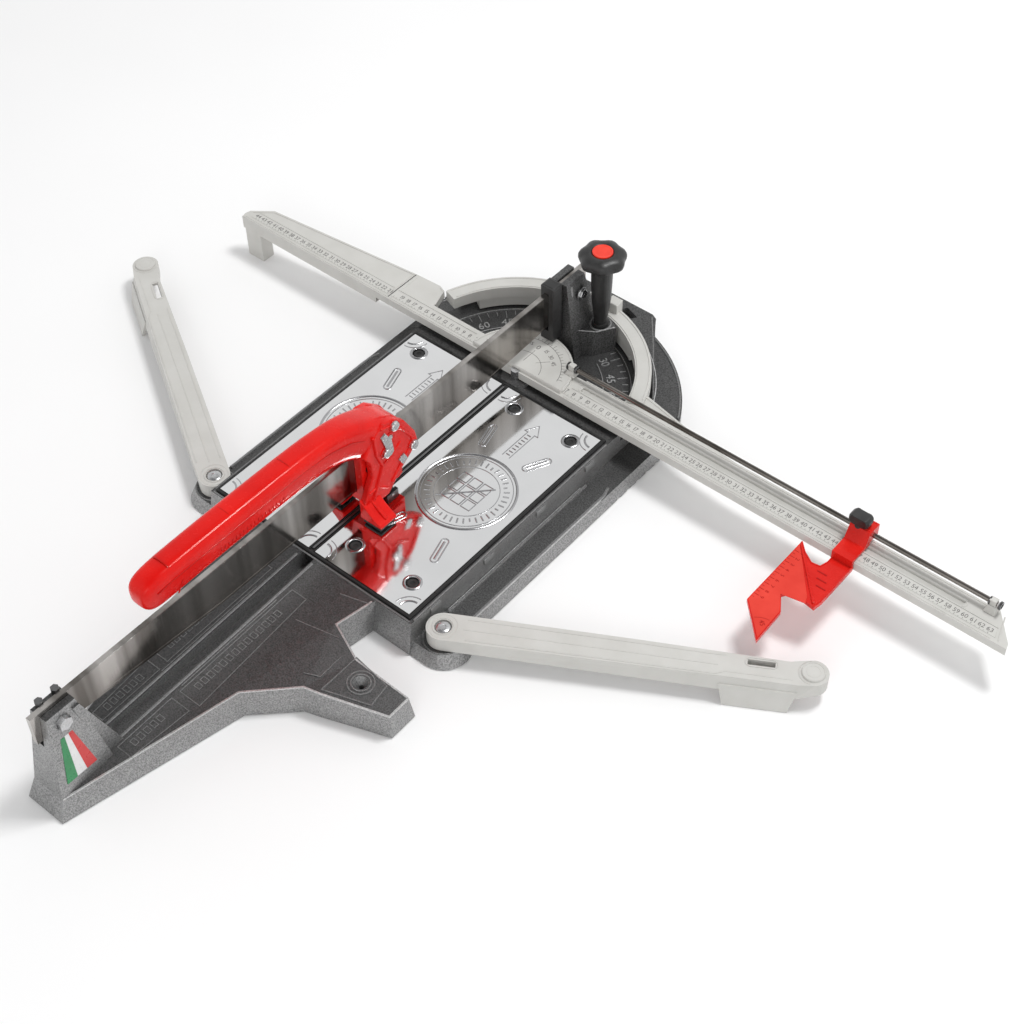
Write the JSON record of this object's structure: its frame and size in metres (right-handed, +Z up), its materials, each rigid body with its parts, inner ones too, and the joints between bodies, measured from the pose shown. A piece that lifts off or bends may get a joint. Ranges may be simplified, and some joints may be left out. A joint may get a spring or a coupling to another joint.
{
  "type": "manual tile cutter",
  "caption": "Manual tile cutter: cast bed with sprung plates, guide rail, lever carriage with scoring wheel, swivelling ruler fence with side stop, and folding support arms",
  "frame": {"origin": "on the floor plane, straight under the pivot that the fence turns on", "axes": "+Z up; +Y along the guide rail, away from the user; +X to the user's right, along the fence at its square setting"},
  "size_m": [1.1811, 0.9377, 0.206],
  "materials": {
    "hammered_grey": "dark grey hammered paint on die-cast metal",
    "light_grey_paint": "matt light warm grey paint",
    "chrome": "mirror-bright plate",
    "zinc": "zinc plated",
    "steel": "plain steel",
    "brass": "turned",
    "red_enamel": "glossy red enamel",
    "red_plastic": "moulded red",
    "black_plastic": "moulded black",
    "rubber": "matt black"
  },
  "bodies": {
    "bed": {"base_casting": "hammered_grey", "front_rail_bolt": "zinc", "height_screw_front": "steel", "height_screw_rear": "steel", "guide_rail": "chrome", "rear_tower": "hammered_grey", "rear_rail_bolt": "zinc", "rail_collar": "black_plastic", "gasket_frame": "rubber", "breaker_strip": "steel", "lock_bush": "brass", "fence_pivot_pin": "zinc", "arm_pivot_screw_left": "zinc", "arm_pivot_screw_right": "zinc", "plate_plug_left_1": "rubber", "plate_plug_left_2": "rubber", "plate_plug_left_3": "rubber", "plate_plug_left_4": "rubber", "plate_plug_right_1": "rubber", "plate_plug_right_2": "rubber", "plate_plug_right_3": "rubber", "plate_plug_right_4": "rubber", "rubber_foot_nose": "rubber", "rubber_foot_foot": "rubber", "rubber_foot_front_left": "rubber", "rubber_foot_rear_left": "rubber", "rubber_foot_rear_right": "rubber", "plate_spring_left_front": "steel", "plate_spring_left_rear": "steel", "plate_spring_right_front": "steel", "plate_spring_right_rear": "steel"},
    "plate_l": {"plate_left": "chrome"},
    "plate_r": {"plate_right": "chrome"},
    "fence": {"fence_bar": "light_grey_paint", "fence_extension": "light_grey_paint", "rod_post_inner": "light_grey_paint", "rod_post_outer": "light_grey_paint", "stop_rod": "chrome"},
    "stop": {"side_stop": "red_plastic"},
    "thumb_screw": {"stop_wing_screw": "black_plastic"},
    "lock": {"lock_knob": "black_plastic", "lock_knob_cap": "red_plastic", "lock_sleeve": "black_plastic", "lock_stud": "zinc"},
    "carriage": {"carriage_body": "red_enamel", "carriage_bearing_front": "steel", "carriage_bearing_rear": "steel", "lever_pin": "zinc", "wheel_holder": "steel", "wheel_axle": "zinc"},
    "lever": {"handle_lever": "red_enamel", "lever_screw_1": "zinc", "lever_screw_2": "zinc", "lever_screw_3": "zinc", "breaker_pad_left": "rubber", "breaker_pad_right": "rubber"},
    "wheel": {"scoring_wheel": "steel"},
    "arm_r": {"swing_arm_right": "light_grey_paint"},
    "arm_l": {"swing_arm_left": "light_grey_paint"}
  },
  "joints": [
    {"name": "fence_turn", "type": "hinge", "parent": "bed", "child": "fence", "pos_m": [0, 0, 0.055], "axis": [0, 0, 1], "range_deg": [-45, 20]},
    {"name": "stop_slide", "type": "slide", "parent": "fence", "child": "stop", "axis": [1, 0, 0], "range_m": [-0.33, 0.135]},
    {"name": "thumb_screw_turn", "type": "hinge", "parent": "stop", "child": "thumb_screw", "pos_m": [0.455, 0.032, 0.085], "axis": [0, 0, 1], "continuous": true},
    {"name": "lock_turn", "type": "hinge", "parent": "bed", "child": "lock", "pos_m": [0.0345, 0.1183, 0.12], "axis": [0, 0, 1], "continuous": true},
    {"name": "carriage_slide", "type": "slide", "parent": "bed", "child": "carriage", "axis": [0, 1, 0], "range_m": [-0.36, 0.15]},
    {"name": "lever_lift", "type": "hinge", "parent": "carriage", "child": "lever", "pos_m": [0, -0.238, 0.15], "axis": [-1, 0, 0], "range_deg": [0, 35]},
    {"name": "wheel_spin", "type": "hinge", "parent": "carriage", "child": "wheel", "pos_m": [0, -0.226, 0.061], "axis": [1, 0, 0], "continuous": true},
    {"name": "plate_give_left", "type": "slide", "parent": "bed", "child": "plate_l", "axis": [0, 0, 1], "range_m": [-0.004, 0], "stiffness_N_per_m": 20000, "deforming": ["plate_spring_left_front", "plate_spring_left_rear"]},
    {"name": "plate_give_right", "type": "slide", "parent": "bed", "child": "plate_r", "axis": [0, 0, 1], "range_m": [-0.004, 0], "stiffness_N_per_m": 20000, "deforming": ["plate_spring_right_front", "plate_spring_right_rear"]},
    {"name": "arm_swing_right", "type": "hinge", "parent": "bed", "child": "arm_r", "pos_m": [0.174, -0.331, 0.027], "axis": [0, 0, 1], "range_deg": [-40, 59]},
    {"name": "arm_swing_left", "type": "hinge", "parent": "bed", "child": "arm_l", "pos_m": [-0.174, -0.331, 0.027], "axis": [0, 0, 1], "range_deg": [-58, 40]}
  ]
}
